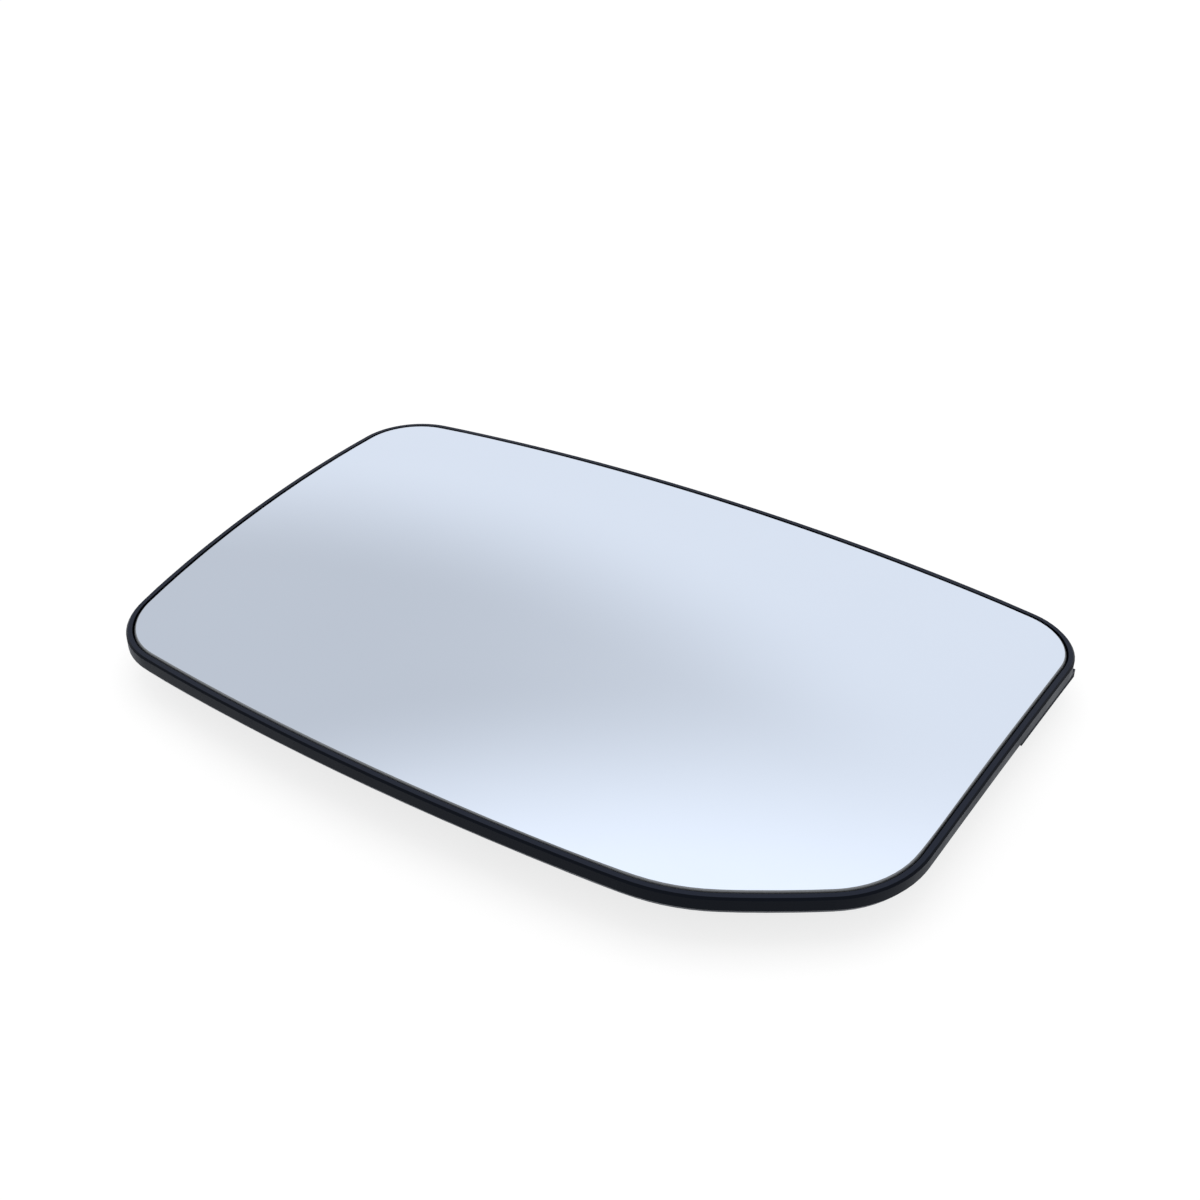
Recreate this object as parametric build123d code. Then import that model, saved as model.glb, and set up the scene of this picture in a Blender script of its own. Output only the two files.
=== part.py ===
"""Left-hand car door mirror glass: a convex silvered pane bonded into a moulded clip-in backing plate.

Frame: millimetres, +Z out of the glass, +X along the glass towards its inner (cut-corner) end and +Y
towards its top edge. The origin is on the clip ring's axis, in the plane of the ring's end face.
"""
from build123d import *
import math
import os

# Outline of the glass, seen from the front. Each sharp corner is given inwards from the outline's box.
GLASS_LENGTH = 182.4
GLASS_HEIGHT = 120.1
OUTER_FOOT = (6.5, 8.7)
CUT_FOOT = (37.6, 2.3)
CUT_HEAD = (3.6, 24.7)
INNER_TOP = (-0.5, 5.3)
OUTER_TOP = (2.0, 4.0)

# Rounding of each corner, and how far each side bows out between its corners
OUTER_FOOT_ROUND = 17.4
CUT_FOOT_ROUND = 40.0
CUT_HEAD_ROUND = 23.0
INNER_TOP_ROUND = 13.0
OUTER_TOP_ROUND = 14.0
BOTTOM_BOW = 5.0
CUT_BOW = 1.1
TOP_BOW = 4.6
OUTER_BOW = 3.9

# Turn of a cutting ball's pole off the part: near it for faces whose edges are eased, else to the side
POLE_NEAR = (0, 10, 0)
POLE_SIDE = (90, 0, 0)

# Glass and adhesive sheet
GLASS_RADIUS = 1400.0
GLASS_THICK = 2.0
FRONT_ARRIS = 0.4
BACK_ARRIS = 0.3
PAD_THICK = 0.5
PAD_INSET = 3.0

# Floor and rim of the backing plate
FLOOR_THICK = 1.6
RIM_GAP = 0.4
RIM_WALL = 1.35
RIM_DROP = 0.05
RIM_EASE = 0.4
BEVEL_IN = 0.8
BEVEL_UP = 1.2

# Clip ring on the back, made for a round actuator head with a flange
HEAD_RADIUS = 31.6
HEAD_CLEARANCE = 0.4
HEAD_FLANGE = 5.0
HEAD_PLAY = 0.2
RING_WALL = 1.8
RING_LEAD = 0.6
SEAT_RISE = 2.1
SEAT_RADIUS = 23.0
SEAT_WALL = 1.4

# Snap tongues in the ring
TONGUES = 6
TONGUE_ARC = 26.0
TONGUE_WALL = 1.4
TONGUE_SLOT = 1.6
TONGUE_SHORT = 0.6
BARB_REACH = 1.0
BARB_LEAD = 1.4
BARB_LAND = 1.2
BARB_CATCH = 0.5
WINDOW_SPARE = 1.2

# Stiffening ribs on the back
RIB_THICK = 1.2
RIB_DEPTH = 3.0
EDGE_RIB_INSET = 8.0
MID_RIB_RADIUS = 45.0
GUSSET_FOOT = 2.5

# Straight wall under the inner end, just outside the rim's foot, that runs on past the top corner's start
END_WALL_OUT = 0.3
END_WALL_THICK = 1.4
END_WALL_DEPTH = 1.2
END_WALL_LENGTH = 28.5
END_WALL_PAST = 5.5

# Depths below the front of the glass, and heights above the ring's end face
pad_depth = GLASS_THICK
floor_depth = pad_depth + PAD_THICK
under_depth = floor_depth + FLOOR_THICK
root_depth = floor_depth + FLOOR_THICK / 2
barb_top = TONGUE_SHORT + BARB_LEAD + BARB_LAND + BARB_CATCH
seat_height = barb_top + HEAD_FLANGE + HEAD_PLAY
under_height = seat_height + SEAT_RISE
glass_apex = under_height + under_depth
ring_radius = HEAD_RADIUS + HEAD_CLEARANCE


def glass_edge():
    """Flat face with the outline of the glass, its box centred on the origin."""
    half_x = GLASS_LENGTH / 2
    half_y = GLASS_HEIGHT / 2
    # Each corner with its rounding and the bow of the side that follows it, anticlockwise
    corners = [
        (Vector(OUTER_FOOT[0] - half_x, OUTER_FOOT[1] - half_y), OUTER_FOOT_ROUND, BOTTOM_BOW),
        (Vector(half_x - CUT_FOOT[0], CUT_FOOT[1] - half_y), CUT_FOOT_ROUND, CUT_BOW),
        (Vector(half_x - CUT_HEAD[0], CUT_HEAD[1] - half_y), CUT_HEAD_ROUND, 0),
        (Vector(half_x - INNER_TOP[0], half_y - INNER_TOP[1]), INNER_TOP_ROUND, TOP_BOW),
        (Vector(OUTER_TOP[0] - half_x, half_y - OUTER_TOP[1]), OUTER_TOP_ROUND, OUTER_BOW),
    ]
    sides = []
    for (start, _, bow), (end, _, _) in zip(corners, corners[1:] + corners[:1]):
        sides.append(SagittaArc(start, end, -bow) if bow else Line(start, end))
    face = make_face(sides)
    for point, rounding, _ in corners:
        face = fillet(face.vertices().sort_by_distance(point)[0], rounding)
    middle = face.bounding_box().center()
    return Pos(-middle.X, -middle.Y) * face


def moved_out(face, distance):
    """Face with its outline moved out, or in below zero, each bowed side and corner still an arc."""
    sides = []
    for side in offset(face, distance).edges():
        if side.geom_type == GeomType.LINE:
            sides.append(Line(side @ 0, side @ 1))
        else:
            sides.append(ThreePointArc(side @ 0, side @ 0.5, side @ 1))
    return make_face(sides)


def prism(face):
    """Upright block over a flat face, through the whole height of the part."""
    return extrude(face, amount=glass_apex + GLASS_THICK)


def ball(depth, pole=POLE_SIDE):
    """Ball whose surface runs at one depth below the front of the glass."""
    return Pos(0, 0, glass_apex - GLASS_RADIUS) * Sphere(GLASS_RADIUS - depth, rotation=pole)


def layer(face, top, bottom, pole=POLE_SIDE):
    """Curved slab over a flat face, between two depths below the front of the glass."""
    return (prism(face) & ball(top, pole)) - ball(bottom, pole)


def turned(points, arc=360):
    """Profile of (radius, height) points turned about the ring's axis, centred on +X."""
    profile = make_face(Polyline(*[(radius, 0, height) for radius, height in points], close=True))
    return Rot(0, 0, -arc / 2) * revolve(profile, Axis.Z, arc)


def tube(inner, outer, low, arc=360):
    """Upright tube wall, or an arc of one, from a height up through the plate."""
    high = glass_apex
    return turned([(inner, low), (outer, low), (outer, high), (inner, high)], arc)


def around(piece, count, start=0):
    """Copies of a piece at equal steps about the ring's axis."""
    return [Rot(0, 0, start + 360 * step / count) * piece for step in range(count)]


def spheres(solid):
    """The solid's ball-shaped faces, lowest first."""
    return solid.faces().filter_by(GeomType.SPHERE).sort_by(Axis.Z)


def mirror_glass(edge):
    pane = layer(edge, 0, pad_depth, POLE_NEAR)
    pane = chamfer(spheres(pane)[-1].edges(), FRONT_ARRIS)
    return chamfer(spheres(pane)[0].edges(), BACK_ARRIS)


def bonding_pad(edge):
    return layer(moved_out(edge, -PAD_INSET), pad_depth, floor_depth)


def tray(outer, edge):
    """Floor and rim of the backing plate, with a bevel along the rim's foot and its top edge eased."""
    pocket = prism(moved_out(edge, RIM_GAP)) - ball(floor_depth)
    shell = layer(outer, RIM_DROP, under_depth, POLE_NEAR)
    foot = spheres(shell)[0]
    shell = chamfer(foot.edges(), BEVEL_IN, BEVEL_UP, reference=foot)
    shell = chamfer(spheres(shell)[-1].edges(), RIM_EASE)
    return shell - pocket


def clip_ring():
    """Standing ring for the actuator's head, with snap tongues set in slots and a seat inside it."""
    outside = ring_radius + RING_WALL
    ring = turned([
        (ring_radius + RING_LEAD, 0),
        (outside, 0),
        (outside, glass_apex),
        (ring_radius, glass_apex),
        (ring_radius, RING_LEAD),
    ])
    tip = ring_radius - BARB_REACH
    land = TONGUE_SHORT + BARB_LEAD
    tongue = turned([
        (ring_radius + TONGUE_WALL, TONGUE_SHORT),
        (ring_radius + TONGUE_WALL, glass_apex),
        (ring_radius, glass_apex),
        (ring_radius, barb_top),
        (tip, land + BARB_LAND),
        (tip, land),
        (ring_radius, TONGUE_SHORT),
    ], TONGUE_ARC)
    slot_arc = math.degrees(TONGUE_SLOT / ring_radius)
    bay = tube(tip, outside + RING_WALL, 0, TONGUE_ARC + 2 * slot_arc)
    seat = tube(SEAT_RADIUS - SEAT_WALL, SEAT_RADIUS, seat_height)
    return ring - around(bay, TONGUES) + around(tongue, TONGUES) + seat


def tongue_windows():
    """Windows through the floor above the barbs, where the mould's cores pass."""
    window = tube(ring_radius - BARB_REACH - WINDOW_SPARE, ring_radius, barb_top, TONGUE_ARC)
    return around(window, TONGUES)


def ribs(outer):
    """Edge rib along the outline, a round rib, and radial ribs with gussets that brace the clip ring."""
    rib_line = moved_out(outer, -EDGE_RIB_INSET)
    edge_rib = prism(rib_line) - prism(moved_out(rib_line, -RIB_THICK))
    mid_rib = tube(MID_RIB_RADIUS - RIB_THICK / 2, MID_RIB_RADIUS + RIB_THICK / 2, 0)
    root = ring_radius + RING_WALL / 2
    outwards = (Align.MIN, Align.CENTER, Align.MIN)
    spoke = Pos(root, 0, 0) * Box(GLASS_LENGTH, RIB_THICK, glass_apex, align=outwards)
    end_spoke = Pos(MID_RIB_RADIUS, 0, 0) * Box(GLASS_LENGTH, RIB_THICK, glass_apex, align=outwards)
    side = make_face(Polyline(
        (root, 0, GUSSET_FOOT),
        (MID_RIB_RADIUS, 0, under_height - RIB_DEPTH),
        (MID_RIB_RADIUS, 0, glass_apex),
        (root, 0, glass_apex),
        close=True,
    ))
    gusset = extrude(side, amount=RIB_THICK / 2, both=True)
    half_step = 180 / TONGUES
    spokes = around(spoke, TONGUES, half_step) + around(end_spoke, 2)
    below = ball(under_depth + RIB_DEPTH)
    web = mid_rib + spokes - below + around(gusset, TONGUES, half_step)
    web_ends = prism(moved_out(rib_line, -RIB_THICK / 2))
    return edge_rib - below + (web & web_ends)


def end_wall(outer):
    """Straight wall that hangs under the inner end, which is the outline's one straight side."""
    side = outer.edges().filter_by(GeomType.LINE)[0]
    foot, top = [point.center() for point in side.vertices().sort_by(Axis.Y)]
    along = (top - foot).normalized()
    inwards = along.rotate(Axis.Z, 90)
    high = top + along * END_WALL_PAST + inwards * (BEVEL_IN - END_WALL_OUT)
    low = high - along * END_WALL_LENGTH
    back = inwards * END_WALL_THICK
    plan = make_face(Polyline(low, high, high + back, low + back, close=True))
    return prism(plan) - ball(under_depth + END_WALL_DEPTH)


def backing_plate(edge):
    outer = moved_out(edge, RIM_GAP + RIM_WALL)
    back = (clip_ring() + ribs(outer) + end_wall(outer)) & ball(root_depth)
    return tray(outer, edge) + back - tongue_windows()


edge = glass_edge()
pieces = {
    "mirror_glass": mirror_glass(edge),
    "bonding_pad": bonding_pad(edge),
    "backing_plate": backing_plate(edge),
}
os.makedirs("parts", exist_ok=True)
for name, piece in pieces.items():
    export_step(piece, f"parts/{name}.step")
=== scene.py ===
import math

import bmesh
import bpy
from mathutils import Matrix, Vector


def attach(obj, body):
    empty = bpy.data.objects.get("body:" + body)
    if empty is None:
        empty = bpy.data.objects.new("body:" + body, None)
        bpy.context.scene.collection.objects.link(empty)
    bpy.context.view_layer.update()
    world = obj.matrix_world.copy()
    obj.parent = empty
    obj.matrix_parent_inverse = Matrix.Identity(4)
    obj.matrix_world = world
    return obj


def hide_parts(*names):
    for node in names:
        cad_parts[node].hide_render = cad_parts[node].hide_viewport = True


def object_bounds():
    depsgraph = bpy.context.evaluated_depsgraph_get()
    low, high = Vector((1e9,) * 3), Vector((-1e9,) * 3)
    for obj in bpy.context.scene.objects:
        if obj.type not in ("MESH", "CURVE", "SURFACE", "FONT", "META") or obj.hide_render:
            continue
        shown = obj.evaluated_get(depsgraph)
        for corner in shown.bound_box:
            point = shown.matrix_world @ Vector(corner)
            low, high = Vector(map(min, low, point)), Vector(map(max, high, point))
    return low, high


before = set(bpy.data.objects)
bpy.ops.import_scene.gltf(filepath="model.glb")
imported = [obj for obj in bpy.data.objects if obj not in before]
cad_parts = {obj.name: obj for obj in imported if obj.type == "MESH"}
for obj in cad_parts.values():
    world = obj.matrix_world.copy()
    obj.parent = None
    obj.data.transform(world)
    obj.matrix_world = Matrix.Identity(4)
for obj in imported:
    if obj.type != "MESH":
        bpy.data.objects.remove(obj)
cad_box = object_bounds()
scene = bpy.context.scene
scene.view_settings.view_transform = "Standard"

MM = 0.001

# The pane's front is part of a ball, and its apex is the highest point of the part
GLASS_RADIUS = 1400 * MM
ball_centre = Vector((0, 0, cad_box[1].z - GLASS_RADIUS))

# Depths below the front of the glass: the most that still counts as the front, where the ground edge's
# painted shade is darkest, where the plate's matt back, painted paler, starts, and over how much depth
# it sets in
FRONT_DEPTH = 0.03 * MM
EDGE_SHADE_DEPTH = 0.8 * MM
BACK_DEPTH = 3.95 * MM
BACK_FADE = 0.12 * MM

# The pane's mesh: its two materials by number, the distance within which points are joined, and the
# least upward part of a normal on the front arris
FRONT, EDGE = 0, 1
WELD = 0.001 * MM
ARRIS_UP = 0.3

# Camera: where the photograph was taken from, and its angle of view
CAMERA_AT = Vector((155.8, -246.95, 224.9)) * MM
CAMERA_AZIMUTH = math.radians(31.45)
CAMERA_ELEVATION = math.radians(35)
CAMERA_LENS = 51
CAMERA_SENSOR = 36
CAMERA_NEAR = 10 * MM

# Levels and colours of the studio, where 1 is white
SKY_LEVEL = 0.80
WALL_LEVEL = 0.87
DIM_LEVEL = 0.635
LOW_LEVEL = 0.62
CEILING_LEVEL = 1.05
OVERHEAD_LEVEL = 0.68
STUDIO_TINT = (0.955, 1.0, 1.085, 1)
WHITE = (1, 1, 1, 1)

# Angles in degrees between which a level changes: azimuths to the right of the camera's heading for the
# end of the dim wall and the start of the other walls, and elevations for the rest
DIM_END = (-13.4, 31.3)
OTHER_START = (40, 75)
DIM_EDGE = (28.1, 37.6)
WALL_FOOT = (0, 32)
CEILING_EDGE = (39.1, 51.1)
CEILING_MIDDLE = (55, 85)

# Rise of the dim wall's edge for each step to the right, and the softness of the sky's horizon
DIM_RISE = 0.483
HORIZON = 0.02

# Lamps and floor
SOFTBOX_SIDE = 0.9
SOFTBOX_AT = Vector((-0.05, 0.10, 1.2))
SOFTBOX_POWER = 3.0
TABLE_LAMP_SIDE = 0.8
TABLE_LAMP_AT = Vector((-0.45, 0.75, -0.75))
TABLE_LAMP_POWER = 24.0
FLOOR_SIDE = 8.0
FLOOR_COLOUR = (0.30, 0.30, 0.30, 1)
FLOOR_GLOW = 0.76

# Colours of the finishes and of painted light and shade: each pair is the darkest and the palest of a
# surface
CHROME = (0.82, 0.865, 0.925, 1), (0.84, 0.885, 0.945, 1)
EDGE_TOP = (0.16, 0.17, 0.18, 1), (0.24, 0.25, 0.26, 1)
# The ground edge's darker side colour is painted shade, deepest by the gap to the rim
EDGE_SIDE_PAINTED_SHADE = (0.025, 0.027, 0.03, 1), (0.05, 0.053, 0.058, 1)
RIM = (0.0026, 0.0031, 0.0052, 1), (0.0041, 0.0048, 0.008, 1)
# The rim top's paler colour is a painted highlight
RIM_PAINTED_HIGHLIGHT = (0.0165, 0.0195, 0.031, 1)
# The back's colour is the matt plastic's own tone painted paler, as painted light where the lamp below
# is dim
BACK_WITH_PAINTED_LIGHT = (0.029, 0.031, 0.037, 1), (0.043, 0.046, 0.053, 1)
FOAM = (0.022, 0.022, 0.024, 1), (0.045, 0.045, 0.048, 1)

# Gloss: roughness of the clean and smeared chrome, and of the plastic's rim and back; the plastic's
# specular level and tint; and upward parts of a normal between which the rim top's painted highlight
# starts
CHROME_ROUGH = (0.01, 0.03)
RIM_ROUGH = (0.33, 0.44)
BACK_ROUGH = 0.9
PLASTIC_SPECULAR = 0.075
PLASTIC_TINT = (0.66, 0.80, 1.0, 1)
PAINTED_HIGHLIGHT_UP = (0.85, 0.98)


class Nodes:
    """Short calls for making and joining the nodes of one tree."""

    def __init__(self, tree):
        self.tree = tree
        tree.nodes.clear()

    def add(self, kind, **values):
        """New node: in_0, in_1 and so on set its inputs, and other names set its properties."""
        node = self.tree.nodes.new(kind)
        for key, value in values.items():
            if not key.startswith("in_"):
                setattr(node, key, value)
        for key, value in values.items():
            if key.startswith("in_"):
                self.set(node.inputs[int(key[3:])], value)
        return node

    def set(self, socket, value):
        """Input joined to another node's output, or given a value of its own."""
        if isinstance(value, bpy.types.NodeSocket):
            self.tree.links.new(value, socket)
        else:
            socket.default_value = value

    def math(self, operation, a, b=0.0, c=0.0):
        return self.add("ShaderNodeMath", operation=operation, in_0=a, in_1=b, in_2=c).outputs[0]

    def ramp(self, value, low, high, to_low=0.0, to_high=1.0, kind="SMOOTHSTEP"):
        """Value carried from one range to another, held at both ends."""
        node = self.add("ShaderNodeMapRange", interpolation_type=kind, in_0=value, in_1=low, in_2=high)
        self.set(node.inputs[3], to_low)
        self.set(node.inputs[4], to_high)
        return node.outputs[0]

    def fade(self, angle, degrees, to_low=0.0, to_high=1.0):
        """Soft change from one level to another between two angles."""
        return self.ramp(angle, math.radians(degrees[0]), math.radians(degrees[1]), to_low, to_high)

    def mix(self, factor, a, b):
        return self.add("ShaderNodeMix", data_type="FLOAT", in_0=factor, in_2=a, in_3=b).outputs[0]

    def mix_colour(self, factor, a, b):
        return self.add("ShaderNodeMix", data_type="RGBA", in_0=factor, in_6=a, in_7=b).outputs[2]

    def noise(self, place, scale, detail, rough):
        node = self.add("ShaderNodeTexNoise", in_0=place)
        for name, value in (("Scale", scale), ("Detail", detail), ("Roughness", rough)):
            node.inputs[name].default_value = value
        return node.outputs[0]

    def rays(self):
        """Two switches: one for the camera's own rays, one for mirrored rays and rays through glass."""
        path = self.add("ShaderNodeLightPath").outputs
        mirrored = self.math("MAXIMUM", path["Is Glossy Ray"], path["Is Transmission Ray"])
        return path["Is Camera Ray"], mirrored


def make_world():
    """Pale studio: a plain sky for soft light, and for the mirror pale walls with a dim one in front."""
    world = bpy.data.worlds.new("studio")
    scene.world = world
    world.use_nodes = True
    n = Nodes(world.node_tree)
    ray = n.add("ShaderNodeTexCoord").outputs["Generated"]
    turned = n.add("ShaderNodeVectorRotate", rotation_type="Z_AXIS", in_0=ray, in_3=-CAMERA_AZIMUTH)
    right, ahead, up = n.add("ShaderNodeSeparateXYZ", in_0=turned.outputs[0]).outputs
    azimuth = n.math("ARCTAN2", right, ahead)
    elevation = n.math("ARCSINE", up)
    # The dim wall's lower edge rises to the right, where the wall fades into the pale ones
    above_edge = n.math("MULTIPLY_ADD", azimuth, -DIM_RISE, elevation)
    dim = n.fade(azimuth, DIM_END, DIM_LEVEL, WALL_LEVEL)
    front = n.mix(n.fade(above_edge, DIM_EDGE), WALL_LEVEL, dim)
    # The other walls darken towards the floor, and the ceiling towards its middle
    other = n.fade(elevation, WALL_FOOT, LOW_LEVEL, WALL_LEVEL)
    walls = n.mix(n.fade(n.math("ABSOLUTE", azimuth), OTHER_START), front, other)
    ceiling = n.fade(elevation, CEILING_MIDDLE, CEILING_LEVEL, OVERHEAD_LEVEL)
    room = n.mix(n.fade(elevation, CEILING_EDGE), walls, ceiling)
    sky = n.ramp(up, -HORIZON, HORIZON, 0.0, SKY_LEVEL)
    camera, mirrored = n.rays()
    level = n.mix(camera, n.mix(mirrored, sky, room), 1.0)
    colour = n.mix_colour(mirrored, WHITE, STUDIO_TINT)
    background = n.add("ShaderNodeBackground", in_0=colour, in_1=level)
    n.add("ShaderNodeOutputWorld", in_0=background.outputs[0])


def make_floor():
    """Light table: a white top that keeps the part's shadow, and shows nothing from underneath."""
    mesh = bpy.data.meshes.new("floor")
    half = FLOOR_SIDE / 2
    corners = [(-half, -half, 0), (half, -half, 0), (half, half, 0), (-half, half, 0)]
    mesh.from_pydata(corners, [], [(0, 1, 2, 3)])
    floor = bpy.data.objects.new("floor", mesh)
    scene.collection.objects.link(floor)
    floor.location.z = cad_box[0].z
    # The table lamp shines up through it
    floor.visible_shadow = False
    material = bpy.data.materials.new("light_table")
    material.use_nodes = True
    n = Nodes(material.node_tree)
    camera, mirrored = n.rays()
    level = n.math("MULTIPLY", n.math("MAXIMUM", camera, mirrored), FLOOR_GLOW)
    colour = n.mix_colour(mirrored, WHITE, STUDIO_TINT)
    glow = n.add("ShaderNodeEmission", in_0=colour, in_1=level).outputs[0]
    paint = n.add("ShaderNodeBsdfDiffuse", in_0=FLOOR_COLOUR).outputs[0]
    top = n.add("ShaderNodeAddShader", in_0=paint, in_1=glow).outputs[0]
    clear = n.add("ShaderNodeBsdfTransparent").outputs[0]
    back = n.add("ShaderNodeNewGeometry").outputs["Backfacing"]
    one_sided = n.add("ShaderNodeMixShader", in_0=back, in_1=top, in_2=clear)
    n.add("ShaderNodeOutputMaterial", in_0=one_sided.outputs[0])
    mesh.materials.append(material)


def area_lamp(name, place, side, power):
    """Square lamp that shines at the part and isn't seen in the mirror."""
    data = bpy.data.lights.new(name, "AREA")
    data.shape = "SQUARE"
    data.size = side
    data.energy = power
    lamp = bpy.data.objects.new(name, data)
    lamp.location = place
    lamp.rotation_euler = (-place).to_track_quat("-Z", "Y").to_euler()
    lamp.visible_glossy = False
    scene.collection.objects.link(lamp)


def make_camera():
    data = bpy.data.cameras.new("camera")
    data.lens = CAMERA_LENS
    data.sensor_width = CAMERA_SENSOR
    data.clip_start = CAMERA_NEAR
    camera = bpy.data.objects.new("camera", data)
    camera.location = CAMERA_AT
    camera.rotation_euler = (math.pi / 2 - CAMERA_ELEVATION, 0, CAMERA_AZIMUTH)
    scene.collection.objects.link(camera)
    scene.camera = camera


def shader(name, **values):
    """New material with values on its shader, and its nodes, the shader's inputs and coordinates."""
    material = bpy.data.materials.new(name)
    material.use_nodes = True
    n = Nodes(material.node_tree)
    bsdf = n.add("ShaderNodeBsdfPrincipled")
    for key, value in values.items():
        bsdf.inputs[key.replace("_", " ")].default_value = value
    n.add("ShaderNodeOutputMaterial", in_0=bsdf.outputs[0])
    place = n.add("ShaderNodeTexCoord").outputs["Object"]
    return material, n, bsdf.inputs, place


def bump(n, inputs, height, strength, depth):
    node = n.add("ShaderNodeBump")
    node.inputs["Strength"].default_value = strength
    node.inputs["Distance"].default_value = depth
    n.set(node.inputs["Height"], height)
    n.set(inputs["Normal"], node.outputs[0])


def depth_below(n, place):
    """Depth of each place below the front of the glass, for a material."""
    out = n.add("ShaderNodeVectorMath", operation="DISTANCE", in_0=place, in_1=ball_centre)
    return n.math("SUBTRACT", GLASS_RADIUS, out.outputs["Value"])


def depth_of(place):
    """Depth of one place below the front of the glass."""
    return GLASS_RADIUS - (place - ball_centre).length


def chrome_front():
    """Chrome on the front of the pane, bluish, with the faint smears that handling leaves."""
    material, n, inputs, place = shader("chrome_front", Metallic=1.0)
    cloud = n.noise(place, scale=30.0, detail=3.0, rough=0.5)
    n.set(inputs["Base Color"], n.mix_colour(cloud, *CHROME))
    smear = n.noise(place, scale=45.0, detail=4.0, rough=0.6)
    n.set(inputs["Roughness"], n.ramp(smear, 0.55, 0.8, *CHROME_ROUGH))
    return material


def ground_edge():
    """Edge of the glass, ground matt: grey next to the coating, with painted shade darkening its side
    with depth.
    """
    material, n, inputs, place = shader("ground_edge", Roughness=0.5, IOR=1.52)
    grit = n.noise(place, scale=5000.0, detail=3.0, rough=0.6)
    # Painted shade: the edge's colour darkens with depth towards the gap by the rim
    painted_edge_shade = n.ramp(depth_below(n, place), 0.0, EDGE_SHADE_DEPTH, kind="LINEAR")
    top = n.mix_colour(grit, *EDGE_TOP)
    side = n.mix_colour(grit, *EDGE_SIDE_PAINTED_SHADE)
    n.set(inputs["Base Color"], n.mix_colour(painted_edge_shade, top, side))
    bump(n, inputs, grit, strength=0.3, depth=0.02 * MM)
    return material


def black_plastic():
    """Moulded black plastic with a fine grain: a satin rim with a painted highlight on its top, and a
    matt back painted paler.
    """
    material, n, inputs, place = shader(
        "moulded_black", Specular_IOR_Level=PLASTIC_SPECULAR, Specular_Tint=PLASTIC_TINT
    )
    cloud = n.noise(place, scale=90.0, detail=4.0, rough=0.6)
    normal = n.add("ShaderNodeNewGeometry").outputs["Normal"]
    upwards = n.add("ShaderNodeSeparateXYZ", in_0=normal).outputs[2]
    # Top-facing faces of the rim get a painted highlight
    painted_highlight = n.ramp(upwards, *PAINTED_HIGHLIGHT_UP)
    back = n.ramp(depth_below(n, place), BACK_DEPTH, BACK_DEPTH + BACK_FADE)
    rim = n.mix_colour(painted_highlight, n.mix_colour(cloud, *RIM), RIM_PAINTED_HIGHLIGHT)
    # The back's colour is painted paler than the rim's, standing in for light
    n.set(inputs["Base Color"], n.mix_colour(back, rim, n.mix_colour(cloud, *BACK_WITH_PAINTED_LIGHT)))
    satin = n.ramp(cloud, 0.25, 0.75, *RIM_ROUGH)
    n.set(inputs["Roughness"], n.mix(back, satin, BACK_ROUGH))
    grain = n.noise(place, scale=4200.0, detail=2.0, rough=0.5)
    bump(n, inputs, grain, strength=0.25, depth=0.03 * MM)
    return material


def adhesive_sheet():
    """Dark acrylic foam sheet, matt, with a fine cell pattern."""
    material, n, inputs, place = shader("adhesive_foam", Roughness=0.85)
    cells = n.add("ShaderNodeTexVoronoi", in_0=place)
    cells.inputs["Scale"].default_value = 2600.0
    cell = cells.outputs[0]
    n.set(inputs["Base Color"], n.mix_colour(cell, *FOAM))
    bump(n, inputs, cell, strength=0.4, depth=0.05 * MM)
    return material


def make_pane():
    """The glass with its front and its ground edge told apart, and the ball's normals on the front."""
    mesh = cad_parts["mirror_glass"].data.copy()
    mesh.name = "mirror_pane"
    mesh.materials.clear()
    for material in (chrome_front(), ground_edge()):
        mesh.materials.append(material)
    work = bmesh.new()
    work.from_mesh(mesh)
    bmesh.ops.remove_doubles(work, verts=work.verts, dist=WELD)
    for face in work.faces:
        deepest = max(depth_of(v.co) for v in face.verts)
        face.material_index = FRONT if deepest < FRONT_DEPTH else EDGE
        face.smooth = True
    work.to_mesh(mesh)
    work.free()
    pane = bpy.data.objects.new("mirror_pane", mesh)
    scene.collection.objects.link(pane)
    normals = []
    for face in mesh.polygons:
        # The front arris is ground to a round: its normals turn from the front's to the side's
        arris = face.material_index == EDGE and face.normal.z > ARRIS_UP
        side = Vector((face.normal.x, face.normal.y, 0))
        for i in face.vertices:
            place = mesh.vertices[i].co
            if face.material_index == FRONT or (arris and depth_of(place) < FRONT_DEPTH):
                normals.append((place - ball_centre).normalized())
            else:
                normals.append(side.normalized() if arris else face.normal)
    mesh.normals_split_custom_set(normals)
    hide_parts("mirror_glass")
    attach(pane, "root")


def dress(node, material):
    """Gives a CAD node a material through the node's own slot."""
    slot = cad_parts[node].material_slots[0]
    slot.link = "OBJECT"
    slot.material = material


make_camera()
make_world()
make_floor()
area_lamp("softbox", SOFTBOX_AT, SOFTBOX_SIDE, SOFTBOX_POWER)
area_lamp("table_lamp", TABLE_LAMP_AT, TABLE_LAMP_SIDE, TABLE_LAMP_POWER)
make_pane()
dress("backing_plate", black_plastic())
dress("bonding_pad", adhesive_sheet())
